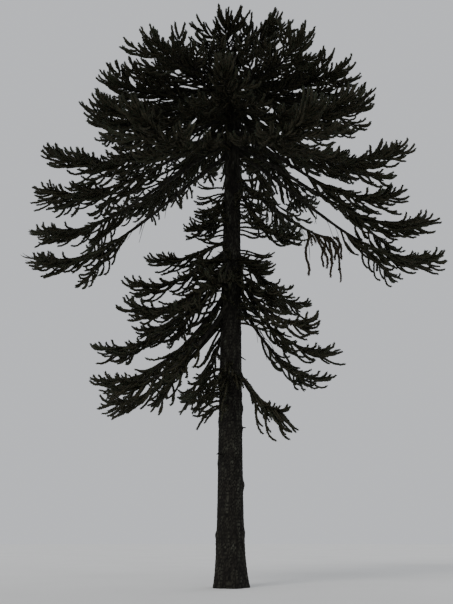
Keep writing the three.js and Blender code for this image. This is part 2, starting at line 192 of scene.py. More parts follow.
# The wood of a bough, thinner on short boughs and where the trunk is thin
FULL_LENGTH = 7.0
STOUT_TRUNK = 0.33
LIMB_RADII = (0.105, 0.034)
LIMB_TAPER = 0.8
LIMB_SIDES = 8
LIMB_RING_STEP = 0.12
LIMB_START = 0.02
LIMB_BARE_END = 0.5
COLLAR_SWELL = 0.55
COLLAR_LENGTH = 0.14
LIMB_LEAST = 0.8
LIMB_LUMPS = {"around": 3, "length": 0.26, "share": 0.24}
LIMB_GRAIN = {"seed": 100, "length": 0.1, "share": 0.2, "relief": (0.3, 0.7)}
LIMB_POINT = 0.04
LENGTH_SAMPLES = 201

# Side boughs, with their lengths, droops and lifts as shares of the bough's or of their own length
SIDE_BOUGH = {"share": 0.38, "turn": 36, "lift": 0.06, "middle": 0.55, "sag": 0.08, "apart": 1.15}
LIGHT_SIDE_BOUGH = {"share": 0.5, "turn": 40, "lift": 0.16, "middle": 0.55, "sag": 0.04, "apart": 0.6}
SIDE_SIZES = (0.85, 1.15)
SIDE_END = 0.82
SIDE_SHORTENING = 1.25
SIDE_ROOT_SHARE = 0.8
SIDE_TIP_RADIUS = 0.026
SIDE_SIDES = 5
SIDE_RING_STEP = 0.17
SIDE_BARE_END = 0.3
SIDE_SEED = 500

# Branchlets: slim cores with scale leaves in a spiral round them. Leaves lift by degrees, at the
# root of a branchlet and at its tip.
LEAF_STEP = 0.021
LEAF_LENGTH = 0.088
LEAF_WIDTH = 0.056
LEAF_BELLY = 0.36
LEAF_BULGE = 0.03
LEAF_SEAT = 0.7
LEAF_LIFT = (19, 15)
LEAF_LIFT_SPREAD = 4
LEAF_SIZES = (0.88, 1.1)
LEAST_LEAVES = 8
GOLDEN_TURN = radians(137.508)
LIVING_TINTS = 3
DRY_TINT = 3
CORE_RADIUS = 0.043
CORE_SIDES = 4
CORE_TAPER = (1.0, 0.95, 0.6)
SHORT_STEPS = 4
LONG_STEPS = 8
LONG_FROM = 0.85
TRUNK_CLEARANCE = 0.05
FOLIAGE_SEED = 7919

# How branchlets leave a bough or side bough: places in shares of its length, angles in degrees
# below the level. Short boughs have shorter ones.
LAST_PLACE = 0.97
LONGEST = 1.7
LONGEST_FROM = 8
SHORTEST = (0.7, 1)
LENGTHS = (0.8, 1.2)
LENGTH_AT_TIP = 0.45
LENGTH_TO_TIP = 1.1
STOUTNESS = (0.9, 1.08)
SHORT_BOUGH_SHARE = 0.4
HANG = {"root": 56, "tip": 26, "limp": 30, "spread": (0.4, 1.4), "steepest": 86}
END = {"root": -40, "tip": -60, "gain": 75, "spread": (-16, 16)}
FORK = {"chance": 0.38, "places": (0.3, 0.5), "lengths": (0.5, 0.65), "rises": (0.3, 0.9)}
ON_SIDE_BOUGH = {"first": 0.1, "lengths": (1.3, 0.8), "start_ripe": 0.5}
ON_SIDE_BOUGH_APART = 1.5

# The hand of upturned branchlets at the end of a stem, set back by shares of their length
HAND = {"back": (1.7, 0.4), "first": 0.4, "rises": (0.3, 1.8), "lengths": (0.85, 1.2), "stout": 1.08}
HAND_LENGTH = 0.7
SIDE_HAND = {"count": 4, "length": 0.6}

# Further branchlets that stand up from a bough or hang from it. More hang from boughs that point
# away from the camera, with a bearing between these.
UPRIGHT = {"places": (0.85, 0.98), "lengths": (0.4, 0.6)}
HANGING = {"last": 0.9, "crowding": 0.7, "lengths": (1.3, 1.2), "spread": (0.6, 1.25)}
FAR_SIDE = (20, 160)
FAR_HANGING = {"last": 0.95, "crowding": 1, "lengths": (1, 1), "spread": (0.6, 1.3)}
FAR_HANGING_APART = 0.3

# The collar of branchlets on the trunk below a bough's root: how many, over what height, how far
# down they start and how they rise. Boughs that are leafy from near their root have a small one.
COLLAR = {"turn": 75, "lengths": (0.8, 1.5), "rise_spread": (-0.5, 0.5), "stoutness": (0.85, 1.0)}
SMALL_COLLAR = {"count": 5, "span": 1.0}
SMALL_COLLAR_BELOW = 0.2
COLLARS = {
    "low_drooping_216": {"count": 34, "span": 1.7, "drop": 2.2, "rise": -1.4},
    "low_near_322": {"count": 14, "span": 2.2, "drop": 0.4, "rise": -0.3},
    "inner_west_186": {"count": 20, "span": 2.4},
    "inner_east_350": {"count": 20, "span": 2.4},
}
for name in ("low_broad_14", "east_broad_344", "west_broad_190", "rear_skirt_62", "rear_skirt_142"):
    COLLARS[name] = {"count": 10, "span": 1.6}

# The hanging bough, and the dying bough with the live branchlets that it has left
WEEPING = {"count": 46, "places": (0.12, 0.99), "lengths": (1.9, 1.3), "spread": (0.7, 1.1), "turn": 60}
WEEPING_HAND = {"count": 9, "length": 0.7}
CROOKED = {"count": 10, "places": (0.66, 0.99), "lengths": (0.9, 2.1), "turns": (10, 70)}
CROOKED_FORK = {"every": 3, "step": 3, "lengths": (0.5, 1.0)}
CROOKED_STOUTNESS = (1.0, 1.35)
LAST_LIVING = {"count": 12, "places": (0.15, 0.55), "lengths": (0.5, 1.1)}

# Dead twigs: threads that hang from the boughs of some tiers, between two shares of their length
# and so many, and sprays past the ends of others
THREADS = {
    "west_skirt": (0.3, 0.62, 12),
    "east_skirt": (0.3, 0.55, 7),
    "dying": (0.3, 0.9, 12),
    "low_broad": (0.2, 0.5, 14),
}
THREAD_LENGTHS = (0.5, 1.4)
THREAD_TURN = 60
THREAD_STOUT = 0.26
DEAD_SPRAYS = {"west_skirt": 5, "west_wide": 3}
SPRAY_PLACES = (0.9, 0.99)
SPRAY_LENGTHS = (0.75, 1.1)
SPRAY_TURN = 25
SPRAY_STOUT = 0.28
DEAD_SEED = 31

# The foliage is joined by region. Above the skirt, the height of a bough's root says which.
MIDDLE_FROM = 18.5
TOP_FROM = 20.4


def mix(a, b, share):
    return a + (b - a) * share


def eased(share):
    """A share from 0 to 1 that starts and ends gently."""
    return share**2 * (3 - 2 * share)


def unit(v):
    return v / np.linalg.norm(v, axis=-1, keepdims=True)


def compass(bearing):
    return np.array([cos(radians(bearing)), sin(radians(bearing)), 0.0])


def level_of(way):
    return unit(way * np.array([1, 1, 0]))


def sideways(way):
    return unit(np.cross(way, UP))


def in_turn(i):
    """The two sides in turn, as -1 and 1."""
    return 1 if i % 2 else -1


# Trunk

def trunk_centre(height):
    height = np.asarray(height, float)
    return np.stack([LEAN * (height / TRUNK_HEIGHT) ** 2, height * 0, height], axis=-1)


def trunk_radius(height):
    share = np.clip(1 - np.asarray(height) / TRUNK_HEIGHT, 0, 1)
    return TRUNK_RADIUS * share**TAPER_POWER


def from_axis(line):
    """How far the points of a line are from the middle of the trunk."""
    return np.linalg.norm((line - trunk_centre(line[:, 2]))[:, :2], axis=1)


def value_noise(u, v, columns, seed):
    """Smooth noise from 0 to 1 with a cell a unit wide, which repeats after that many columns."""
    rows = int(v.max()) + 3
    grid = default_rng(seed).random((rows, columns))
    left, low = np.floor([u, v]).astype(int)
    across, up = eased(u - left), eased(v - low)
    left, right = left % columns, (left + 1) % columns
    bottom = mix(grid[low, left], grid[low, right], across)
    return mix(bottom, mix(grid[low + 1, left], grid[low + 1, right], across), up)


def plate_edges(u, v, columns, seed):
    """0 in the furrows and more towards the middles of the plates. Each cell of a brickwork holds
    the middle of one plate, and the nearest two are compared."""
    rows = int(v.max()) + 4
    margin = (1 - PLATES["jitter"]) / 2
    middles = default_rng(seed).random((rows, columns, 2)) * PLATES["jitter"] + margin
    nearest = np.full(u.shape, np.inf)
    second = np.full(u.shape, np.inf)
    for row_step in (-1, 0, 1):
        row = np.floor(v).astype(int) + row_step
        for column_step in (-2, -1, 0, 1):
            column = np.floor(u).astype(int) + column_step
            place = middles[row + 1, column % columns]
            away = np.hypot(column + 0.5 * (row % 2) + place[..., 0] - u, row + place[..., 1] - v)
            second = np.minimum(second, np.maximum(nearest, away))
            nearest = np.minimum(nearest, away)
    return second - nearest


def bark_relief(turn, height, seed):
    """How high the bark stands over its furrows, as a share of its relief."""
    columns = PLATES["columns"]
    fine, broad = GRAIN["finer"], LUMPS["broader"]
    u = turn / (2 * pi) * columns
    wander = value_noise(u, height / WANDER["height"], columns, seed + 1) - 0.5
    u = u + wander * WANDER["columns"]
    edge = plate_edges(u, height / PLATES["height"] + 1, columns, seed)
    plate = eased(np.clip(edge / PLATES["furrow"], 0, 1))
    grain = value_noise(u * fine, height / GRAIN["height"], columns * fine, seed + 2)
    lumps = value_noise(u / broad, height / LUMPS["height"], columns // broad, seed + 3)
    return plate * (PLATES["share"] + GRAIN["share"] * grain + LUMPS["share"] * lumps)


def knots(turn, height):
    """Burls and old branch collars that swell from the trunk, in metres."""
    rng = default_rng(KNOTS["seed"])
    swell = np.zeros(turn.shape)
    for _ in range(KNOTS["count"]):
        middle = rng.uniform(*KNOTS["heights"])
        bearing = rng.uniform(0, 2 * pi)
        size = rng.uniform(*KNOTS["sizes"])
        away = np.angle(np.exp(1j * (turn - bearing))) * TRUNK_RADIUS
        distance = (away**2 + (KNOT_SQUASH * (height - middle)) ** 2) / size**2
        swell += rng.uniform(*KNOTS["swells"]) * np.exp(-distance)
    return swell


def grid_faces(rings, sides):
    """The triangles of a tube's side, ring after ring of vertices."""
    ring, side = np.meshgrid(np.arange(rings - 1), np.arange(sides), indexing="ij")
    following = (side + 1) % sides
    a, b = ring * sides + side, ring * sides + following
    c, d = a + sides, b + sides
    return np.concatenate([np.stack([a, b, d], -1).reshape(-1, 3), np.stack([a, d, c], -1).reshape(-1, 3)])


def fan(centre, ring, outward):
    """Triangles from a centre vertex to a ring of vertices, facing one way or the other."""
    after = np.roll(ring, -1)
    middle = np.full(len(ring), centre)
    order = [middle, ring, after] if outward else [middle, after, ring]
    return np.stack(order, -1)


def closed_tube(points, start, end, relief):
    """A tube from its rings of points, closed at a point at each end, and its relief."""
    rings, sides = points.shape[:2]
    vertices = np.concatenate([points.reshape(-1, 3), [start], [end]])
    last = len(vertices) - 1
    bottom = np.arange(sides)
    top = last - 1 - sides + bottom
    faces = [grid_faces(rings, sides), fan(last - 1, bottom, False), fan(last, top, True)]
    return vertices, np.concatenate(faces), np.concatenate([relief.ravel(), [CAP_RELIEF, CAP_RELIEF]])


def trunk_mesh():
    heights = np.concatenate([np.arange(*step) for step in RING_STEPS])
    turns = np.arange(TRUNK_SIDES) * 2 * pi / TRUNK_SIDES
    height, turn = np.meshgrid(heights, turns, indexing="ij")
    bark = bark_relief(turn, height, BARK_SEED)
    flare = FLARE_RADIUS * np.exp(-height / FLARE_HEIGHT) * (1 + LOBE_DEPTH * np.cos(ROOT_LOBES * turn))
    depth = PLATES["relief"] * mix(BARK_TIP_SHARE, 1, trunk_radius(height) / TRUNK_RADIUS)
    radius = trunk_radius(height) + flare + (bark - BARK_LEVEL) * depth + knots(turn, height)
    outward = np.stack([np.cos(turn), np.sin(turn), turn * 0], -1)
    points = trunk_centre(height) + outward * radius[..., None]
    # The bark's relief also goes with the mesh, to paint shade into the furrows' colour
    return closed_tube(points, [0, 0, 0], trunk_centre(TRUNK_HEIGHT), bark)


# Boughs

def bezier(controls, share):
    """Points of a Bezier curve, from its controls."""
    share = np.asarray(share, float)[..., None]
    points = list(controls)
    while len(points) > 1:
        points = [mix(a, b, share) for a, b in zip(points, points[1:])]
    return points[0]


def reach_of(tier, crown, bearing):
    """How far a bough's tip reaches: to the dome, or a little less where it droops below it."""
    rise = (tier.tip - crown.base) / (crown.top - crown.base)
    share = (1 - rise**crown.power) ** (1 / crown.power) if rise > 0 else 1 + DROOP_LOSS * rise
    return crown.reach * share * (1 - crown.west * compass(bearing)[0]) * tier.stretch


def bough_controls(tier, crown, bearing, root):
    """The four controls of a bough's curve, from the middle of the trunk to its upturned tip."""
    outward = compass(bearing)
    start = trunk_centre(root)
    end = outward * reach_of(tier, crown, bearing) + UP * tier.tip
    length = np.linalg.norm(end - start)
    slope = (tier.tip - root) / length
    share = slope + 0.5
    leave = asin(slope) * crown.plunge + radians(mix(*ROOT_LIFT, share))
    arrive = radians(mix(*TIP_LIFT, share * TIP_LIFT_GAIN))

    def handle(point, angle, reach):
        return point + (outward * cos(angle) + UP * sin(angle)) * reach

    first = handle(start, leave, length * HANDLES["root"])
    return np.array([start, first, handle(end, arrive, -length * HANDLES["tip"]), end])


class Stem:
    """A woody line: a curve, and how thick it is along it."""

    def __init__(self, controls, radii, taper):
        self.controls = np.asarray(controls)
        line = self.point(np.linspace(0, 1, LENGTH_SAMPLES))
        self.length = np.linalg.norm(np.diff(line, axis=0), axis=1).sum()
        self.root_radius, self.tip_radius = radii
        self.taper = taper

    def radius(self, share):
        return mix(self.root_radius, self.tip_radius, np.asarray(share) ** self.taper)

    def point(self, share):
        return bezier(self.controls, share)

    def way(self, share):
        return unit(bezier(self.controls[1:] - self.controls[:-1], share))


class Bough(Stem):
    """One bough of a tier, from the middle of the trunk to its tip."""

    def __init__(self, tier, crown, bearing, number, seed):
        root = tier.root + (number % 2) * STAGGER
        super().__init__(bough_controls(tier, crown, bearing, root), LIMB_RADII, LIMB_TAPER)
        self.root_radius *= min(1, self.length / FULL_LENGTH, trunk_radius(tier.root) / STOUT_TRUNK)
        self.tier, self.crown, self.bearing, self.seed = tier, crown, bearing, seed
        self.name = f"{tier.name}_{bearing}"
        self.leafy = tier.leafy
        self.leafy_length = self.length * (1 - self.leafy)
        self.light = tier.root > LIGHT_FROM
        self.heavy = LIGHT_WEIGHT if self.light else 1.0
        self.fan = LIGHT_SIDE_BOUGH if self.light else SIDE_BOUGH
        self.sides = self.grow_sides() if tier.habit == "leafy" else []

    def grow_sides(self):
        """Side boughs leave to the left and the right in turn, and turn up at their tips."""
        count = max(2, int(self.length * (SIDE_END - self.leafy) / self.fan["apart"]))
        rng = default_rng(self.seed + SIDE_SEED)
        sides = []
        for i in range(count):
            place = mix(self.leafy, SIDE_END, (i + 0.3 + 0.4 * rng.random()) / count)
            side = self.side_bough(place, in_turn(i + self.seed), rng.uniform(*SIDE_SIZES))
            if clear_of_trunk(side.point(np.linspace(0, 1, 9))):
                sides.append(side)
        return sides

    def side_bough(self, place, side, size):
        start = self.point(place)
        length = size * self.length * self.fan["share"] * (SIDE_SHORTENING - place)
        turn = radians(side * self.fan["turn"])
        x, y, z = self.way(place)
        outward = np.array([x * cos(turn) - y * sin(turn), x * sin(turn) + y * cos(turn), z])
        middle = start + (outward * self.fan["middle"] - UP * self.fan["sag"]) * length
        end = start + (outward + UP * self.fan["lift"]) * length
        return Stem([start, middle, end], (self.radius(place) * SIDE_ROOT_SHARE, SIDE_TIP_RADIUS), taper=1)


def grow_boughs():
    boughs = []
    for crown in (SKIRT, CROWN):
        for tier in crown.tiers:
            for number, bearing in enumerate(tier.bearings):
                boughs.append(Bough(tier, crown, bearing, number, seed=len(boughs) + 1))
    return boughs


def frames(ways, start_across):
    """Two directions across a line at each of its points."""
    across = unit(start_across - ways * np.sum(ways * start_across, axis=-1, keepdims=True))
    return across, np.cross(ways, across)


def spokes(across, third, sides):
    """The ways from each point of a line to the corners of the ring around it."""
    turns = (np.arange(sides) * 2 * pi / sides)[:, None]
    return np.cos(turns) * across[..., None, :] + np.sin(turns) * third[..., None, :]


def bark_tube(stem, shares, sides, across, swell, seed):
    """The bark of a stem as a closed tube with lumps and grain."""
    line, ways = stem.point(shares), stem.way(shares)
    along, corner = np.meshgrid(shares * stem.length, np.arange(sides), indexing="ij")
    around = LIMB_LUMPS["around"]
    lumps = value_noise(corner / sides * around, along / LIMB_LUMPS["length"], around, seed)
    grain = value_noise(corner, along / LIMB_GRAIN["length"], sides, seed + LIMB_GRAIN["seed"])
    thickness = LIMB_LEAST + LIMB_LUMPS["share"] * lumps + LIMB_GRAIN["share"] * grain
    radius = (stem.radius(shares) * swell)[:, None] * thickness
    points = line[:, None] + spokes(*frames(ways, across), sides) * radius[..., None]
    # The grain also sets the relief, so the bark's colour gets painted shade where the grain is low
    furrow, plate = LIMB_GRAIN["relief"]
    return closed_tube(points, line[0], line[-1] + ways[-1] * LIMB_POINT, furrow + plate * grain)


def bough_meshes(bough):
    """The bark of a bough, with the collar that it leaves the trunk by, and of its side boughs."""
    rings = int(bough.length / LIMB_RING_STEP)
    shares = np.linspace(LIMB_START, 1 - LIMB_BARE_END / bough.length, rings)
    line = bough.point(shares)
    from_bark = np.maximum(0, from_axis(line) - trunk_radius(line[:, 2]))
    collar = 1 + COLLAR_SWELL * np.exp(-from_bark / COLLAR_LENGTH)
    across = np.cross(compass(bough.bearing), UP)
    yield bark_tube(bough, shares, LIMB_SIDES, across, collar, bough.seed)
    for number, side in enumerate(bough.sides):
        rings = max(4, int(side.length / SIDE_RING_STEP))
        shares = np.linspace(0, 1 - SIDE_BARE_END / side.length, rings)
        across = np.cross(side.way(0.5), UP)
        yield bark_tube(side, shares, SIDE_SIDES, across, np.ones(rings), bough.seed * 10 + number)


def stub_meshes():
    """Stumps of dead boughs all round the trunk, more of them higher up."""
    rng = default_rng(STUBS["seed"])
    for _ in range(STUBS["count"]):
        height = mix(*STUBS["heights"], rng.random() ** STUBS["crowding"])
        out = compass(rng.uniform(0, 360))
        length, radius = rng.uniform(*STUB_LENGTHS), rng.uniform(*STUB_RADII)
        droop = rng.uniform(*STUB_DROOPS)
        way = unit(out * cos(droop) - UP * sin(droop))
        start = trunk_centre(height) + out * trunk_radius(height)
        line = start + way * (STUB_RINGS * length)[:, None]
        outward = spokes(*frames(np.tile(way, (len(line), 1)), UP), STUB_SIDES)
        points = line[:, None] + outward * (radius * STUB_WIDTHS)[:, None, None]
        vertices = np.concatenate([points.reshape(-1, 3), [line[-1] + way * radius * STUB_POINT]])
        tip = len(vertices) - 1
        end = fan(tip, np.arange(tip - STUB_SIDES, tip), True)
        faces = np.concatenate([grid_faces(len(line), STUB_SIDES), end])
        yield vertices, faces, np.full(len(vertices), STUB_RELIEF)


# Branchlets. A way is a sum of directions here, and the number beside each of them is its weight.

def branchlet_line(start, leave, middle, arrive, length, steps=LONG_STEPS):
    """A branchlet's line turns from the way it leaves, through a middle way, to the way it ends."""
    share = ((np.arange(steps) + 0.5) / steps)[:, None]
    leave, middle, arrive = unit(leave), unit(middle), unit(arrive)
    ways = unit((1 - share) ** 2 * leave + 2 * share * (1 - share) * middle + share**2 * arrive)
    return np.vstack([start, start + np.cumsum(ways * length / steps, axis=0)])


class Branchlet:
    """A line of points, how long and how stout it is, and its tint."""

    def __init__(self, line, stout, tint):
        self.line = line
        self.length = np.linalg.norm(np.diff(line, axis=0), axis=1).sum()
        self.stout = stout
        self.tint = tint

    def at(self, share):
        """The point at a share of its steps, and the way it takes there."""
        steps = len(self.line) - 1
        i = min(steps - 1, int(share * steps))
        a, b = self.line[i], self.line[i + 1]
        return mix(a, b, share * steps - i), unit(b - a)


def living(line, rng, stoutness):
    return Branchlet(line, rng.uniform(*stoutness), int(rng.integers(0, LIVING_TINTS)))


def clear_of_trunk(line):
    return np.all(from_axis(line)[1:] > trunk_radius(line[1:, 2]) + TRUNK_CLEARANCE)


def fork(branchlet, side, rng):
    """The branchlet that another one forks into, near its middle."""
    start, way = branchlet.at(rng.uniform(*FORK["places"]))
    across = sideways(way) * side
    length = branchlet.length * rng.uniform(*FORK["lengths"])
    leave = way + across * 0.5
    arrive = way * 0.6 + across * 0.1 + UP * rng.uniform(*FORK["rises"])
    line = branchlet_line(start, leave, way + across * 0.1, arrive, length, SHORT_STEPS)
    return Branchlet(line, branchlet.stout, branchlet.tint)


def sweep(way, side, ripe, bough, rng):
    """The ways a branchlet takes. Near the root of a bough, where ripe is 0, it hangs and turns
    outwards at its end. Near the tip, where ripe is 1, it sweeps out and hooks up."""
    heavy, limp = bough.heavy, bough.tier.limp
    across = sideways(way) * side
    level = level_of(way)
    dip = -degrees(asin(way[2]))
    hang = heavy * mix(HANG["root"], HANG["tip"] + HANG["limp"] * limp, ripe) * rng.uniform(*HANG["spread"])
    end = mix(END["gain"] * heavy + END["root"], END["gain"] * limp + END["tip"], ripe)
    end += rng.uniform(*END["spread"])

    def dipping(angle):
        return level * cos(radians(angle)) - UP * sin(radians(angle))

    steep = dipping(min(HANG["steepest"], dip + hang))
    leave = way * 0.5 + steep * 0.5 + across * rng.uniform(0.4, 0.9)
    middle = steep + across * rng.uniform(0.1, 0.4)
    return leave, middle, dipping(end) + across * rng.uniform(-0.1, 0.25)


def branchlets_along(stem, bough, rng, apart, first, lengths, start_ripe):
    """Branchlets leave a stem to the left and the right in turn, from a share of its length on."""
    count = max(3, int(round(stem.length * (LAST_PLACE - first) / apart)))
    grown = []
    for i in range(count):
        place = mix(first, LAST_PLACE, (i + 0.5 * rng.random()) / count)
        ripe = mix(start_ripe, 1, place)
        side = in_turn(i)
        length = mix(*lengths, ripe) * rng.uniform(*LENGTHS)
        length = min(length, LENGTH_AT_TIP + LENGTH_TO_TIP * stem.length * (1 - place))
        ways = sweep(stem.way(place), side, ripe, bough, rng)
        steps = LONG_STEPS if length > LONG_FROM else SHORT_STEPS
        line = branchlet_line(stem.point(place), *ways, length, steps)
        grown.append(living(line, rng, STOUTNESS))
        if rng.random() < FORK["chance"]:
            grown.append(fork(grown[-1], -side, rng))
    return grown


def hand(stem, rng, count, length):
    """The fan of upturned branchlets that a bough or side bough ends in."""
    grown = []
    for i in range(count):
        share = i / (count - 1)
        base = max(HAND["first"], 1 - mix(*HAND["back"], share) * length / stem.length)
        start, way = stem.point(base), stem.way(base)
        across = sideways(way) * (0.8 - 0.5 * share) * in_turn(i)
        leave = way + across - UP * 0.15
        arrive = way * 0.25 + across * 0.3 + UP * mix(*HAND["rises"], rng.random())
        reach = length * rng.uniform(*HAND["lengths"])
        line = branchlet_line(start, leave, leave, arrive, reach, SHORT_STEPS)
        grown.append(Branchlet(line, HAND["stout"], int(rng.integers(0, LIVING_TINTS))))
    return grown


def hanging_branchlet(stem, place, side, rng, length):
    """A long branchlet trails from under a stem, and its tip turns outwards."""
    way = stem.way(place)
    level = level_of(way)
    across = sideways(way) * side
    leave = level * 0.9 + across * rng.uniform(0.1, 0.8) - UP * 0.4
    middle = level * rng.uniform(0.3, 0.8) + across * 0.1 - UP
    arrive = level * rng.uniform(0.7, 1.1) + across * rng.uniform(-0.3, 0.3) - UP * rng.uniform(-0.5, 0.3)
    line = branchlet_line(stem.point(place), leave, middle, arrive, length)
    return living(line, rng, (0.9, 1.0))


def upright_branchlet(stem, place, side, rng, length):
    """A short branchlet that stands up from a stem."""
    way = stem.way(place)
    across = sideways(way) * side
    leave = way * 0.8 + across * rng.uniform(0.3, 0.9) + UP * 0.3
    middle = way * 0.5 + across * rng.uniform(0, 0.3) + UP * 0.8
    arrive = way * rng.uniform(0, 0.4) + UP
    line = branchlet_line(stem.point(place), leave, middle, arrive, length, SHORT_STEPS)
    return living(line, rng, (0.95, 1.1))


def collar_branchlets(bough, rng, count, span, drop=0, rise=0.5):
    """Branchlets that grow from the trunk below the root of a bough, each with a fork."""
    grown = []
    for i in range(count):
        out = compass(bough.bearing + rng.uniform(-COLLAR["turn"], COLLAR["turn"]))
        height = bough.tier.root - drop - rng.uniform(0, span)
        start = trunk_centre(height) + out * trunk_radius(height)
        length = rng.uniform(*COLLAR["lengths"])
        arrive = out + UP * (rise + rng.uniform(*COLLAR["rise_spread"]))
        line = branchlet_line(start, out, out * 0.8 - UP * bough.heavy, arrive, length)
        grown.append(living(line, rng, COLLAR["stoutness"]))
        grown.append(fork(grown[-1], in_turn(i), rng))
    return grown


def fullness(bough, full_length):
    """The share of their full length that a bough's branchlets reach."""
    return min(1, SHORT_BOUGH_SHARE + bough.length / full_length)


def hanging_row(bough, rng, apart, row):
    """Branchlets that hang from the leafy part of a bough."""
    grown = []
    for i in range(int(bough.leafy_length / apart)):
        share = rng.random() ** row["crowding"]
        place = mix(bough.leafy, row["last"], share)
        length = mix(*row["lengths"], share) * rng.uniform(*row["spread"]) * fullness(bough, FULL_LENGTH)
        grown.append(hanging_branchlet(bough, place, in_turn(i), rng, length))
    return grown


def grow_leafy(bough, rng):
    """Branchlets along a bough and its side boughs, more that stand up or hang, a collar on the
    trunk, and hands at the ends."""
    crown = bough.crown
    apart = crown.apart * bough.tier.open
    lengths = (LONGEST * fullness(bough, LONGEST_FROM), mix(*SHORTEST, bough.heavy))
    grown = branchlets_along(bough, bough, rng, apart, bough.leafy, lengths, start_ripe=0)
    for side in bough.sides:
        grown += branchlets_along(side, bough, rng, apart * ON_SIDE_BOUGH_APART, **ON_SIDE_BOUGH)
        grown += hand(side, rng, **SIDE_HAND)
    for i in range(int(bough.leafy_length / crown.upright_apart)):
        place = mix(*UPRIGHT["places"], rng.random())
        grown.append(upright_branchlet(bough, place, in_turn(i), rng, rng.uniform(*UPRIGHT["lengths"])))
    if not bough.light:
        grown += hanging_row(bough, rng, crown.hanging_apart, HANGING)
    if FAR_SIDE[0] < bough.bearing < FAR_SIDE[1]:
        grown += hanging_row(bough, rng, FAR_HANGING_APART, FAR_HANGING)
    collar = COLLARS.get(bough.name, SMALL_COLLAR if bough.leafy < SMALL_COLLAR_BELOW else None)
    if collar:
        grown += collar_branchlets(bough, rng, **collar)
    return grown + hand(bough, rng, crown.hand, HAND_LENGTH)


def grow_hanging(bough, rng):
    """A bough whose branchlets all hang, those near its root the longest, and turn outwards."""
    grown = []
    for i in range(WEEPING["count"]):
        share = i / (WEEPING["count"] - 1)
        place = mix(*WEEPING["places"], share)
        level = compass(bough.bearing + in_turn(i) * rng.uniform(0, WEEPING["turn"]))
        length = mix(*WEEPING["lengths"], share) * rng.uniform(*WEEPING["spread"])
        outward = level * rng.uniform(-0.2, 1.5)
        leave, middle = outward - UP * 0.3, outward * 0.25 - UP
        arrive = level * mix(0.1, 0.9, rng.random()) - UP * mix(0.9, 0.1, share)
        line = branchlet_line(bough.point(place), leave, middle, arrive, length)
        grown.append(living(line, rng, (0.9, 1.0)))
    return grown + hand(bough, rng, **WEEPING_HAND)


def crooked_branchlet(start, level, length, rng):
    """A dying branchlet hangs down and changes its way at each step."""
    ways = [level * 0.7 - UP * 0.6]
    for _ in range(LONG_STEPS - 1):
        sway = compass(rng.uniform(0, 360)) * 0.3
        ways.append(unit(ways[-1] * 0.7 + sway + level * 0.05 - UP * 0.35))
    line = np.vstack([start, start + np.cumsum(unit(np.array(ways)) * length / LONG_STEPS, axis=0)])
    return Branchlet(line, rng.uniform(*CROOKED_STOUTNESS), DRY_TINT)


def grow_dying(bough, rng):
    """Crooked branchlets hang from the outer part of a dying bough, and a few live ones further in."""
    grown = []
    for i in range(CROOKED["count"]):
        level = compass(bough.bearing + in_turn(i) * rng.uniform(*CROOKED["turns"]))
        start = bough.point(mix(*CROOKED["places"], i / (CROOKED["count"] - 1)))
        crooked = crooked_branchlet(start, level, rng.uniform(*CROOKED["lengths"]), rng)
        grown.append(crooked)
        if i % CROOKED_FORK["every"] == 0:
            start = crooked.line[CROOKED_FORK["step"]]
            grown.append(crooked_branchlet(start, level, rng.uniform(*CROOKED_FORK["lengths"]), rng))
    for i in range(LAST_LIVING["count"]):
        place = rng.uniform(*LAST_LIVING["places"])
        length = rng.uniform(*LAST_LIVING["lengths"])
        grown.append(hanging_branchlet(bough, place, in_turn(i), rng, length))
    return grown


GROW = {"leafy": grow_leafy, "hanging": grow_hanging, "dying": grow_dying}


def foliage_of(bough):
    rng = default_rng(bough.seed * FOLIAGE_SEED)
    return [b for b in GROW[bough.tier.habit](bough, rng) if clear_of_trunk(b.line)]


def thread(bough, place, rng, length):
    """A thin dead twig that hangs from a bough and curves under its own weight."""
    level = compass(bough.bearing + rng.uniform(-THREAD_TURN, THREAD_TURN))
    leave, middle = level * 0.8 - UP * 0.3, level * 0.2 - UP
    arrive = level * rng.uniform(-0.6, 0.8) - UP
    line = branchlet_line(bough.point(place), leave, middle, arrive, length)
    return Branchlet(line, THREAD_STOUT, None)


def dead_spray(bough, rng):
    """A dead twig that goes on past the leafy end of a bough, with finer ones on it."""
    level = compass(bough.bearing + rng.uniform(-SPRAY_TURN, SPRAY_TURN))
    start = bough.point(rng.uniform(*SPRAY_PLACES))
    arrive = level + UP * rng.uniform(-0.1, 0.5)
    length = rng.uniform(*SPRAY_LENGTHS)
    line = branchlet_line(start, level, level - UP * 0.1, arrive, length)
    twig = Branchlet(line, SPRAY_STOUT, None)
    return [twig] + [fork(twig, side, rng) for side in (1, -1, 1)]


def dead_twigs_of(bough):
    rng = default_rng(bough.seed * DEAD_SEED)
    first, last, count = THREADS.get(bough.tier.name, (0, 0, 0))
    grown = []
    for _ in range(count):
        place = rng.uniform(first, last)
        grown.append(thread(bough, place, rng, rng.uniform(*THREAD_LENGTHS)))
    for _ in range(DEAD_SPRAYS.get(bough.tier.name, 0)):
        grown += dead_spray(bough, rng)
    return grown


# Meshes of many branchlets at once

def start_sides(lines):
    """For each branchlet a direction across it, square to the plane that it bends in. A straight
    one bends in none, so a little of another direction is added to all."""
    first, last = lines[:, 1] - lines[:, 0], lines[:, -1] - lines[:, -2]
    across = np.cross(first, last) + 0.02 * np.cross(first, UP + 0.1)
    return unit(across)


def cores_mesh(lines, stout):
    """The slim cores of branchlets with equally many steps, as tubes that end in a blunt tip."""
    count, points = lines.shape[:2]
    ways = unit(np.gradient(lines, axis=1))
    outward = spokes(*frames(ways, start_sides(lines)[:, None]), CORE_SIDES)
    root, end, tip = CORE_TAPER
    taper = np.append(np.linspace(root, end, points - 1), tip)
    radius = CORE_RADIUS * stout[:, None] * taper
    vertices = (lines[:, :, None] + outward * radius[..., None, None]).reshape(-1, 3)
    offsets = np.arange(count) * points * CORE_SIDES
    return vertices, (grid_faces(points, CORE_SIDES)[None] + offsets[:, None, None]).reshape(-1, 3)


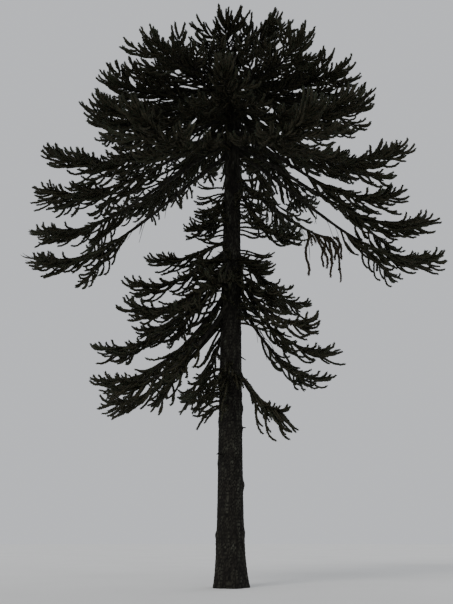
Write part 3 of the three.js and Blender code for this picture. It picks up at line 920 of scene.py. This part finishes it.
def leaves_mesh(lines, lengths, stout, tints, rng):
    """Scale leaves in a spiral along branchlets: each is a pointed blade of two faces."""
    count, points = lines.shape[:2]
    steps = points - 1
    leaves = np.maximum(LEAST_LEAVES, (lengths / LEAF_STEP).astype(int))
    owner = np.repeat(np.arange(count), leaves)
    order = np.arange(leaves.sum()) - np.repeat(np.cumsum(leaves) - leaves, leaves)
    share = (order + 0.5) / leaves[owner]
    step = np.minimum((share * steps).astype(int), steps - 1)
    a, b = lines[owner, step], lines[owner, step + 1]
    base = mix(a, b, (share * steps - step)[:, None])
    way = unit(b - a)
    across, third = frames(way, start_sides(lines)[owner])
    turn = order * GOLDEN_TURN + rng.uniform(0, 2 * pi, count)[owner]
    outward = np.cos(turn)[:, None] * across + np.sin(turn)[:, None] * third
    lift = np.radians(mix(*LEAF_LIFT, share**2) + rng.normal(0, LEAF_LIFT_SPREAD, len(share)))
    blade = way * np.cos(lift)[:, None] + outward * np.sin(lift)[:, None]
    to_end = (leaves[owner] - order) * LEAF_STEP / LEAF_LENGTH
    size = stout[owner] * np.clip(0.5 + 0.5 * to_end, 0, 1) * rng.uniform(*LEAF_SIZES, len(share))
    side = unit(np.cross(blade, outward))
    root = base + outward * (CORE_RADIUS * LEAF_SEAT * size)[:, None]
    middle = root + (blade * LEAF_BELLY + outward * LEAF_BULGE) * (LEAF_LENGTH * size)[:, None]
    half = side * (LEAF_WIDTH / 2 * size)[:, None]
    tip = root + blade * (LEAF_LENGTH * size)[:, None]
    vertices = np.stack([root, middle - half, tip, middle + half], axis=1).reshape(-1, 3)
    first = np.arange(len(share)) * 4
    faces = np.stack([first, first + 1, first + 2, first, first + 2, first + 3], -1).reshape(-1, 3)
    return vertices, faces, np.repeat(tints[owner], 2)


def join(parts):
    """Vertices, faces and any further arrays of several meshes as one."""
    vertices, faces, *rest = zip(*parts)
    offsets = np.cumsum([0] + [len(v) for v in vertices[:-1]])
    joined = [np.concatenate(vertices), np.concatenate([f + o for f, o in zip(faces, offsets)])]
    return joined + [np.concatenate(r) for r in rest]


# Materials

def new_material(name, roughness, specular):
    material = bpy.data.materials.new(name)
    material.use_nodes = True
    shader = material.node_tree.nodes["Principled BSDF"]
    shader.inputs["Roughness"].default_value = roughness
    shader.inputs["Specular IOR Level"].default_value = specular
    return material, material.node_tree, shader


def noise(tree, scale, detail, stretch=(1, 1, 1)):
    coordinates = tree.nodes.new("ShaderNodeTexCoord").outputs["Object"]
    mapping = tree.nodes.new("ShaderNodeMapping")
    mapping.inputs["Scale"].default_value = stretch
    texture = tree.nodes.new("ShaderNodeTexNoise")
    texture.inputs["Scale"].default_value = scale
    texture.inputs["Detail"].default_value = detail
    tree.links.new(coordinates, mapping.inputs["Vector"])
    tree.links.new(mapping.outputs["Vector"], texture.inputs["Vector"])
    return texture.outputs["Fac"]


def ramp(tree, value, stops):
    """A colour ramp over a value, from its places and colours."""
    node = tree.nodes.new("ShaderNodeValToRGB")
    for element, (place, colour) in zip(node.color_ramp.elements, (stops[0], stops[-1])):
        element.position = place
        element.color = (*colour, 1)
    for place, colour in stops[1:-1]:
        node.color_ramp.elements.new(place).color = (*colour, 1)
    tree.links.new(value, node.inputs["Fac"])
    return node.outputs["Color"]


def mixed(tree, share, a, b):
    node = tree.nodes.new("ShaderNodeMix")
    node.data_type = "RGBA"
    tree.links.new(share, node.inputs["Factor"])
    tree.links.new(a, node.inputs["A"])
    tree.links.new(b, node.inputs["B"])
    return node.outputs["Result"]


def bumped(tree, shader, height, strength, distance):
    bump = tree.nodes.new("ShaderNodeBump")
    bump.inputs["Strength"].default_value = strength
    bump.inputs["Distance"].default_value = distance
    tree.links.new(height, bump.inputs["Height"])
    tree.links.new(bump.outputs["Normal"], shader.inputs["Normal"])


def bark_material(name, lightness):
    """Grey-brown plates with pale lichen in upright patches, and near-black painted shade in the furrows,
    where the relief is low.
    """
    material, tree, shader = new_material(name, roughness=0.92, specular=0.2)
    relief = tree.nodes.new("ShaderNodeAttribute")
    relief.attribute_name = "relief"
    tones = [
        (0.3, (0.013, 0.011, 0.009)),
        (0.46, (0.026, 0.023, 0.018)),
        (0.56, (0.045, 0.043, 0.032)),
        (0.7, (0.085, 0.086, 0.067)),
    ]
    tones = [(place, tuple(lightness * c for c in colour)) for place, colour in tones]
    plates = ramp(tree, noise(tree, scale=7, detail=7, stretch=(1, 1, 0.35)), tones)
    # Painted shade: near-black tones for the furrows, where the bark's relief is low
    furrow_shade_tones = [(0.3, (0.003, 0.0027, 0.0022)), (0.7, (0.008, 0.007, 0.0055))]
    furrows = ramp(tree, noise(tree, scale=8, detail=3), furrow_shade_tones)
    # The relief says how much of the painted shade shows: all of it in the furrows, none on the plates
    height = ramp(tree, relief.outputs["Fac"], [(0.3, (0, 0, 0)), (0.8, (1, 1, 1))])
    tree.links.new(mixed(tree, height, furrows, plates), shader.inputs["Base Color"])
    roughening = noise(tree, scale=26, detail=5, stretch=(1, 1, 0.25))
    bumped(tree, shader, roughening, strength=0.7, distance=0.02)
    return material


def leaf_material(name, dark, light, roughness=0.5):
    """Leathery scale leaves, a little uneven in colour from place to place."""
    material, tree, shader = new_material(name, roughness, specular=0.15)
    patches = ramp(tree, noise(tree, scale=1.7, detail=4), [(0.34, dark), (0.68, light)])
    tree.links.new(patches, shader.inputs["Base Color"])
    bumped(tree, shader, noise(tree, scale=45, detail=2), strength=0.25, distance=0.004)
    return material


def twig_material(name):
    """The rough brown skin of branchlets between their leaves, and of dead twigs."""
    material, tree, shader = new_material(name, roughness=0.85, specular=0.2)
    tones = [(0.35, (0.022, 0.022, 0.012)), (0.65, (0.05, 0.042, 0.026))]
    tree.links.new(ramp(tree, noise(tree, scale=6, detail=3), tones), shader.inputs["Base Color"])
    bumped(tree, shader, noise(tree, scale=60, detail=2), strength=0.4, distance=0.005)
    return material


def floor_material():
    material, tree, shader = new_material("floor", roughness=0.9, specular=0.1)
    tones = [(0.3, (0.7, 0.7, 0.69)), (0.7, (0.74, 0.74, 0.73))]
    tree.links.new(ramp(tree, noise(tree, scale=0.2, detail=3), tones), shader.inputs["Base Color"])
    return material


# Blender objects

def new_object(name, data):
    thing = bpy.data.objects.new(name, data)
    bpy.context.scene.collection.objects.link(thing)
    return thing


def add_piece(name, vertices, faces, materials, tints=None, relief=None, smooth=False):
    mesh = bpy.data.meshes.new(name)
    mesh.vertices.add(len(vertices))
    mesh.vertices.foreach_set("co", np.asarray(vertices, np.float32).ravel())
    mesh.loops.add(len(faces) * 3)
    mesh.loops.foreach_set("vertex_index", np.asarray(faces, np.int32).ravel())
    mesh.polygons.add(len(faces))
    mesh.polygons.foreach_set("loop_start", np.arange(len(faces), dtype=np.int32) * 3)
    for material in materials:
        mesh.materials.append(material)
    if tints is not None:
        mesh.polygons.foreach_set("material_index", np.asarray(tints, np.int32))
    if smooth:
        mesh.polygons.foreach_set("use_smooth", np.ones(len(faces), bool))
    # The relief, which the bark materials turn into painted shade where it is low
    if relief is not None:
        layer = mesh.attributes.new("relief", "FLOAT", "POINT")
        layer.data.foreach_set("value", np.asarray(relief, np.float32))
    mesh.update(calc_edges=True)
    return new_object(name, mesh)


def add_floor():
    turns = np.arange(FLOOR_SIDES) * 2 * pi / FLOOR_SIDES
    ring = np.stack([np.cos(turns), np.sin(turns), turns * 0], -1) * FLOOR_RADIUS
    vertices = np.concatenate([ring, [[0, 0, 0]]])
    floor = add_piece("floor", vertices, fan(FLOOR_SIDES, np.arange(FLOOR_SIDES), True), [floor_material()])


def add_camera():
    camera = new_object("camera", bpy.data.cameras.new("camera"))
    camera.data.sensor_width = SENSOR
    camera.data.lens = FOCAL_PIXELS * SENSOR / max(PHOTO_SIZE)
    camera.data.clip_end = CLIP_END
    camera.location = CAMERA_PLACE
    camera.rotation_euler = (radians(90 + CAMERA_PITCH), 0, 0)
    bpy.context.scene.camera = camera


def add_sun(name, energy, angle, tilt, bearing, colour):
    lamp = bpy.data.lights.new(name, "SUN")
    lamp.energy = energy
    lamp.angle = radians(angle)
    lamp.color = colour
    new_object(name, lamp).rotation_euler = (radians(tilt), 0, radians(bearing))


def add_light():
    """An even grey sky, a soft key light from the front and a softer fill from behind."""
    world = bpy.data.worlds.new("studio")
    world.use_nodes = True
    background = world.node_tree.nodes["Background"]
    background.inputs["Color"].default_value = (0.86, 0.88, 0.92, 1)
    background.inputs["Strength"].default_value = 0.75
    bpy.context.scene.world = world
    add_sun("key", energy=1.1, angle=24, tilt=52, bearing=-38, colour=(1, 0.98, 0.95))
    add_sun("fill", energy=0.4, angle=40, tilt=60, bearing=140, colour=(0.94, 0.97, 1))


def add_bark(name, parts, material):
    vertices, faces, relief = join(parts)
    bark = add_piece(name, vertices, faces, [material], relief=relief, smooth=True)
    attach(bark, "root")
    return bark


def add_wood(boughs):
    """The bark of the trunk, of the boughs with their side boughs, and of the stumps."""
    bough_bark = bark_material("bough_bark", lightness=0.6)
    trunk = add_bark("trunk_bark", [trunk_mesh()], bark_material("bark", lightness=0.62))
    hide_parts("trunk")
    limbs = add_bark("bough_bark", [tube for bough in boughs for tube in bough_meshes(bough)], bough_bark)
    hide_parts(*[f"bough_{bough.name}" for bough in boughs if bough.tier.separate])
    add_bark("dead_stubs", stub_meshes(), bough_bark)


def arrays_of(branchlets):
    """Branchlets with equally many steps, as arrays of lines, lengths, stoutness and tints."""
    for steps in (SHORT_STEPS, LONG_STEPS):
        some = [b for b in branchlets if len(b.line) == steps + 1]
        if some:
            yield [np.array([getattr(b, key) for b in some]) for key in ("line", "length", "stout", "tint")]


def add_twigs(name, branchlets, material):
    vertices, faces = join([cores_mesh(lines, stout) for lines, _, stout, _ in arrays_of(branchlets)])
    twigs = add_piece(name, vertices, faces, [material], smooth=True)
    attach(twigs, "root")
    return twigs


def region_of(bough):
    """The part of the crown that a bough's foliage is joined with."""
    east, away, _ = compass(bough.bearing)
    side = "east" if east > 0 else "west"
    if bough.crown is SKIRT:
        return f"low_{side}"
    if bough.tier.root > TOP_FROM:
        return f"top_{side}"
    if bough.tier.root > MIDDLE_FROM:
        return "middle_rear" if away > 0 else "middle_near"
    return f"wide_{side}"


def add_foliage(boughs):
    """The leaves and the cores of each region's branchlets, with the tints dealt out by branchlet."""
    tints = [
        leaf_material("leaf_deep", dark=(0.0095, 0.0135, 0.008), light=(0.02, 0.027, 0.0145)),
        leaf_material("leaf_olive", dark=(0.015, 0.018, 0.01), light=(0.031, 0.033, 0.018)),
        leaf_material("leaf_grey", dark=(0.019, 0.028, 0.016), light=(0.038, 0.048, 0.028)),
        leaf_material("leaf_dry", dark=(0.05, 0.034, 0.018), light=(0.085, 0.06, 0.034), roughness=0.8),
    ]
    core = twig_material("branchlet_core")
    regions = {}
    for bough in boughs:
        regions.setdefault(region_of(bough), []).append(bough)
    for region, members in regions.items():
        branchlets = [b for bough in members for b in foliage_of(bough)]
        rng = default_rng(len(region) + len(members))
        vertices, faces, dealt = join([leaves_mesh(*some, rng) for some in arrays_of(branchlets)])
        leaves = add_piece(f"leaves_{region}", vertices, faces, tints, tints=dealt)
        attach(leaves, "root")
        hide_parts(*[f"mass_{bough.name}" for bough in members])
        twigs = add_twigs(f"branchlets_{region}", branchlets, core)


add_camera()
add_light()
add_floor()
boughs = grow_boughs()
add_wood(boughs)
dead_twigs = [twig for bough in boughs for twig in dead_twigs_of(bough)]
add_twigs("dead_twigs", dead_twigs, twig_material("dead_twig"))
add_foliage(boughs)
